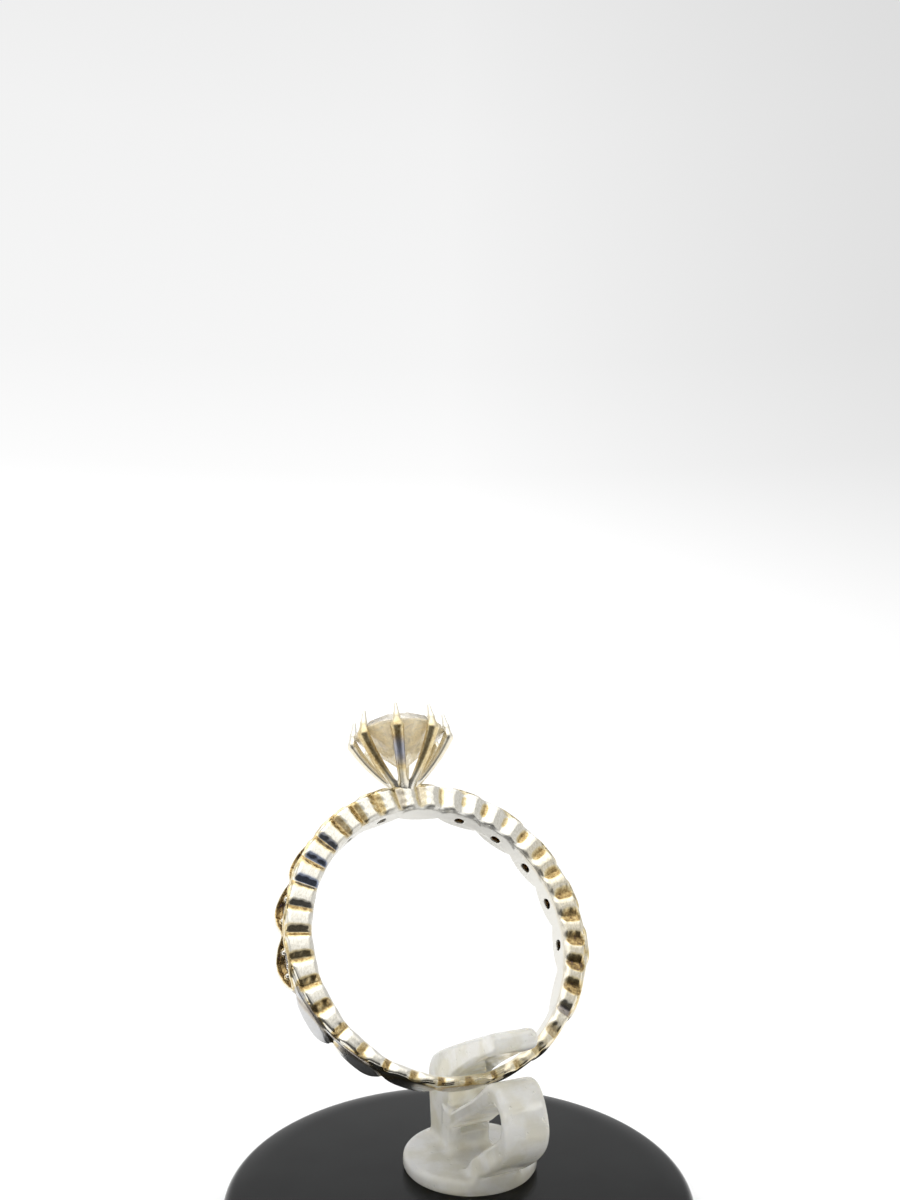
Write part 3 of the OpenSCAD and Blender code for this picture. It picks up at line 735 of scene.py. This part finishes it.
def frosted_acrylic(look):
    """Acrylic, moulded and handled for years: milky inside, with fine scratches, small bubbles and scuffed patches."""
    material, tree = new_material("moulded_frosted_acrylic")
    place = add_node(tree, "ShaderNodeTexCoord")
    cloud = add_node(tree, "ShaderNodeTexNoise", {"Vector": (place, "Object"), "Scale": 700.0, "Detail": 5.0})
    tone = add_node(tree, "ShaderNodeValToRGB", {"Fac": (cloud, "Fac")})
    set_stops(tone, ((0.4, opaque(look.acrylic_deep)), (0.58, opaque(look.acrylic))))
    # Hair scratches 0.05 mm wide and a few millimetres long, along the even lines of a stretched noise
    comb = add_node(tree, "ShaderNodeMapping", {"Vector": (place, "Object"), "Rotation": (0.5, 0.3, 0.7),
                                               "Scale": (400.0, 1300.0, 700.0)})
    scratch = add_node(tree, "ShaderNodeTexNoise", {"Vector": (comb, 0), "Scale": 1.0, "Detail": 1.0})
    near = add_node(tree, "ShaderNodeMath", {0: (scratch, "Fac"), 1: 0.5, 2: 0.006}, operation="COMPARE")
    break_up = add_node(tree, "ShaderNodeMath", {0: (cloud, "Fac"), 1: 0.52}, operation="GREATER_THAN")
    cut = add_node(tree, "ShaderNodeMath", {0: (near, 0), 1: (break_up, 0)}, operation="MULTIPLY")
    # Bubbles 0.1 mm across, about 0.6 mm apart
    bubble = add_node(tree, "ShaderNodeTexVoronoi", {"Vector": (place, "Object"), "Scale": 1700.0})
    dot = add_node(tree, "ShaderNodeMapRange", {"Value": (bubble, "Distance"), "From Min": 0.08, "From Max": 0.16,
                                               "To Min": 1.0, "To Max": 0.0})
    marks = add_node(tree, "ShaderNodeMath", {0: (cut, 0), 1: (dot, 0)}, operation="MAXIMUM")
    bump = add_node(tree, "ShaderNodeBump", {"Height": (marks, 0), "Strength": 0.9, "Distance": 0.00003}, invert=True)
    rough = add_node(tree, "ShaderNodeMapRange", {"Value": (cloud, "Fac"), "From Min": 0.3, "From Max": 0.7,
                                                 "To Min": 0.14, "To Max": 0.04})
    shader = add_node(tree, "ShaderNodeBsdfPrincipled", {
        "Base Color": (tone, "Color"), "Roughness": (rough, 0), "IOR": 1.49, "Transmission Weight": 0.42,
        "Subsurface Weight": 0.8, "Subsurface Scale": 0.004, "Subsurface Radius": (1.0, 0.97, 0.88),
        "Normal": (bump, 0)})
    add_node(tree, "ShaderNodeOutputMaterial", {"Surface": shader})
    return material


def black_styrene(look):
    """Polystyrene, injection moulded in a polished tool: deep black gloss with faint smudges."""
    material, tree = new_material("moulded_black_styrene")
    place = add_node(tree, "ShaderNodeTexCoord")
    # Finger smudges 3 mm across
    smudge = add_node(tree, "ShaderNodeTexNoise", {"Vector": (place, "Object"), "Scale": 320.0, "Detail": 6.0})
    dull = add_node(tree, "ShaderNodeMapRange", {"Value": (smudge, "Fac"), "From Min": 0.3, "From Max": 0.7,
                                                "To Min": 0.15, "To Max": 0.26})
    tone = add_node(tree, "ShaderNodeValToRGB", {"Fac": (smudge, "Fac")})
    set_stops(tone, ((0.35, opaque(look.base_black)), (0.75, linear("#121414"))))
    shader = add_node(tree, "ShaderNodeBsdfPrincipled", {"Base Color": (tone, "Color"), "Roughness": (dull, 0),
                                                        "IOR": 1.59, "Specular IOR Level": 0.08})
    add_node(tree, "ShaderNodeOutputMaterial", {"Surface": shader})
    return material


def studio_world():
    """A tent of white cloth, open in front to a dark room that shows only in reflections."""
    world = bpy.data.worlds.new("light_tent")
    world.use_nodes = True
    tree = world.node_tree
    tree.nodes.clear()
    place = add_node(tree, "ShaderNodeTexCoord")
    way = add_node(tree, "ShaderNodeSeparateXYZ", {"Vector": (place, "Generated")})
    # Brightness from level to straight up, halved because a ramp ends at 1
    rise = add_node(tree, "ShaderNodeValToRGB", {"Fac": (way, "Z")})
    set_stops(rise, [(at, (light / 2, light / 2, light / 2, 1)) for at, light in (
        (0.0, 1.25), (0.05, 1.2), (0.2, 0.98), (0.3, 0.92), (0.48, 0.89), (0.6, 0.84), (0.78, 1.6), (1.0, 2.0))])
    # The tent is dimmer on the right
    side = add_node(tree, "ShaderNodeMapRange", {"Value": (way, "X"), "From Min": 0.0, "From Max": 0.5,
                                                "To Min": 2.0, "To Max": 1.56})
    # The opening is in front, and cloth closes most of it higher up
    front = add_node(tree, "ShaderNodeMapRange", {"Value": (way, "Y"), "From Min": -0.42, "From Max": -0.72,
                                                 "To Min": 0.0, "To Max": 0.92}, interpolation_type="SMOOTHSTEP")
    top = add_node(tree, "ShaderNodeMapRange", {"Value": (way, "Z"), "From Min": 0.2, "From Max": 0.5,
                                               "To Min": 1.0, "To Max": 0.3}, interpolation_type="SMOOTHSTEP")
    gap = add_node(tree, "ShaderNodeMath", {0: (front, 0), 1: (top, 0)}, operation="MULTIPLY")
    ray = add_node(tree, "ShaderNodeLightPath")
    opening = add_node(tree, "ShaderNodeMath", {0: (gap, 0), 1: (ray, "Is Glossy Ray")}, operation="MULTIPLY")
    tent = add_node(tree, "ShaderNodeMath", {0: (rise, "Color"), 1: (side, 0)}, operation="MULTIPLY")
    room = add_node(tree, "ShaderNodeMix", {"Factor": (opening, 0), "A": (tent, 0), "B": 0.0}, data_type="FLOAT")
    sky = add_node(tree, "ShaderNodeBackground", {"Color": (1, 1, 1, 1), "Strength": (room, 0)})
    add_node(tree, "ShaderNodeOutputWorld", {"Surface": sky})
    return world


class RING_OT_stage(bpy.types.Operator):
    """Set the light tent, the floor and the camera"""
    bl_idname = "ring.stage"
    bl_label = "Stage"

    def execute(self, context):
        scene = context.scene
        scene.world = studio_world()
        scene.view_settings.view_transform = "Standard"
        camera = bpy.data.cameras.new("view_of_photo")
        camera.sensor_fit = "VERTICAL"
        camera.sensor_height = 36
        camera.lens = 30
        camera.clip_start = 0.001
        holder = bpy.data.objects.new("view_of_photo", camera)
        holder.location = [v * MM for v in VIEW_AT]
        holder.rotation_euler = (math.radians(VIEW_PITCH), 0, 0)
        scene.collection.objects.link(holder)
        scene.camera = holder
        mesh = bpy.data.meshes.new("pale_floor")
        # The floor ends just in front of the base, where the tent opens; in metres
        far, near = 0.6, -0.022
        mesh.from_pydata([(-far, near, 0), (far, near, 0), (far, far, 0), (-far, far, 0)], [], [(0, 1, 2, 3)])
        floor = bpy.data.objects.new("pale_floor", mesh)
        material, tree = new_material("matt_white_card")
        shader = add_node(tree, "ShaderNodeBsdfPrincipled", {"Base Color": opaque(scene.ring_finishes.card),
                                                            "Roughness": 0.8})
        add_node(tree, "ShaderNodeOutputMaterial", {"Surface": shader})
        mesh.materials.append(material)
        scene.collection.objects.link(floor)
        return {"FINISHED"}


def sizes_in_mm(sizes):
    return SimpleNamespace(
        bore=sizes.bore_radius / MM, near=sizes.near_wall / MM, pad=sizes.pad_depth / MM,
        link_half=sizes.link_half / MM, waist_half=sizes.waist_half / MM, crest=sizes.crest / MM,
        recess=sizes.recess_depth / MM, bead=sizes.bead_radius / MM, girdle=sizes.girdle_height / MM,
        stone=sizes.stone_radius / MM, prongs=sizes.prongs)


def silver_for(scene):
    return bpy.data.materials.get("cast_polished_sterling_silver") or tarnished_silver(scene.ring_finishes)


class RING_OT_band(bpy.types.Operator):
    """Cast the band, with its padded near wall, its links and their recesses"""
    bl_idname = "ring.band"
    bl_label = "Band"

    def execute(self, context):
        field, marks = make_band(sizes_in_mm(context.scene.ring_sizes))
        # The grid is in links round the band, radius, and distance from the middle plane
        steps_round, step = 744, 0.07
        axes = (np.arange(0, LINKS, LINKS / steps_round), np.arange(8.5, 10.87, step), np.arange(-1.06, 1.2, step))
        band = field_piece("silver_band", field, axes, ring_place(), band_place, wrap=True, marks=marks)
        settle_in(band, silver_for(context.scene), "silver_ring")
        return {"FINISHED"}


class RING_OT_head(bpy.types.Operator):
    """Cast the head with its prongs round the centre stone"""
    bl_idname = "ring.head"
    bl_label = "Head"

    def execute(self, context):
        field, marks = make_head(sizes_in_mm(context.scene.ring_sizes))
        step = 0.062
        axes = (np.arange(-4.15, 4.16, step), np.arange(-4.15, 4.16, step), np.arange(9.75, 15.95, step))
        head = field_piece("silver_head", field, axes, ring_place() @ head_place(), marks=marks)
        settle_in(head, silver_for(context.scene), "silver_ring")
        return {"FINISHED"}


class RING_OT_stones(bpy.types.Operator):
    """Give the centre stone and the small stones their finishes"""
    bl_idname = "ring.stones"
    bl_label = "Stones"

    def execute(self, context):
        look = context.scene.ring_finishes
        clear, filmed = cut_zirconia(look), filmed_zirconia(look, context.scene.ring_sizes.girdle_height)
        for name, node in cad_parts.items():
            if "stone" in name:
                node.data.materials.clear()
                node.data.materials.append(filmed if name == "centre_stone" else clear)
        return {"FINISHED"}


class RING_OT_clip(bpy.types.Operator):
    """Mould the clip, with its post, its bowed loop and its round foot"""
    bl_idname = "ring.clip"
    bl_label = "Clip"

    def execute(self, context):
        sizes = context.scene.ring_stand
        field = make_clip(sizes.clip_width / MM, sizes.clip_edge / MM, sizes.foot_radius / MM)
        step = 0.115
        axes = (np.arange(-4.35, 4.36, step), np.arange(-7.95, 4.36, step), np.arange(2.9, 13.0, step))
        stand = Matrix.Translation([v * MM for v in CLIP_AT]) @ Matrix.Rotation(math.radians(RING_TURN), 4, "Z")
        clip = field_piece("acrylic_clip", field, axes, stand)
        settle_in(clip, frosted_acrylic(context.scene.ring_finishes), "ring_clip")
        return {"FINISHED"}


class RING_OT_base(bpy.types.Operator):
    """Turn the round black base"""
    bl_idname = "ring.base"
    bl_label = "Base"

    def execute(self, context):
        sizes = context.scene.ring_stand
        base = bpy.data.objects.new("black_base", base_mesh(sizes.base_radius / MM, sizes.base_thickness / MM,
                                                            sizes.base_edge / MM))
        context.scene.collection.objects.link(base)
        settle_in(base, black_styrene(context.scene.ring_finishes), "base_disc")
        return {"FINISHED"}


class RING_PT_pieces(bpy.types.Panel):
    """The ring's pieces, sizes and finishes"""
    bl_idname = "RING_PT_pieces"
    bl_label = "Ring on Clip Stand"
    bl_space_type = "VIEW_3D"
    bl_region_type = "UI"
    bl_category = "Ring"

    def draw(self, context):
        for operator in OPERATORS:
            self.layout.operator(operator.bl_idname)
        for group in (context.scene.ring_sizes, context.scene.ring_stand, context.scene.ring_finishes):
            box = self.layout.box()
            for name in group.__annotations__:
                box.prop(group, name)


OPERATORS = (RING_OT_stage, RING_OT_band, RING_OT_head, RING_OT_stones, RING_OT_clip, RING_OT_base)
CLASSES = (RingSizes, StandSizes, Finishes) + OPERATORS + (RING_PT_pieces,)


def register():
    for item in CLASSES:
        bpy.utils.register_class(item)
    bpy.types.Scene.ring_sizes = PointerProperty(type=RingSizes)
    bpy.types.Scene.ring_stand = PointerProperty(type=StandSizes)
    bpy.types.Scene.ring_finishes = PointerProperty(type=Finishes)


def unregister():
    del bpy.types.Scene.ring_finishes, bpy.types.Scene.ring_stand, bpy.types.Scene.ring_sizes
    for item in reversed(CLASSES):
        bpy.utils.unregister_class(item)


def main():
    register()
    bpy.ops.ring.stage()
    bpy.ops.ring.band()
    bpy.ops.ring.head()
    bpy.ops.ring.stones()
    bpy.ops.ring.clip()
    bpy.ops.ring.base()


if __name__ == "__main__":
    main()
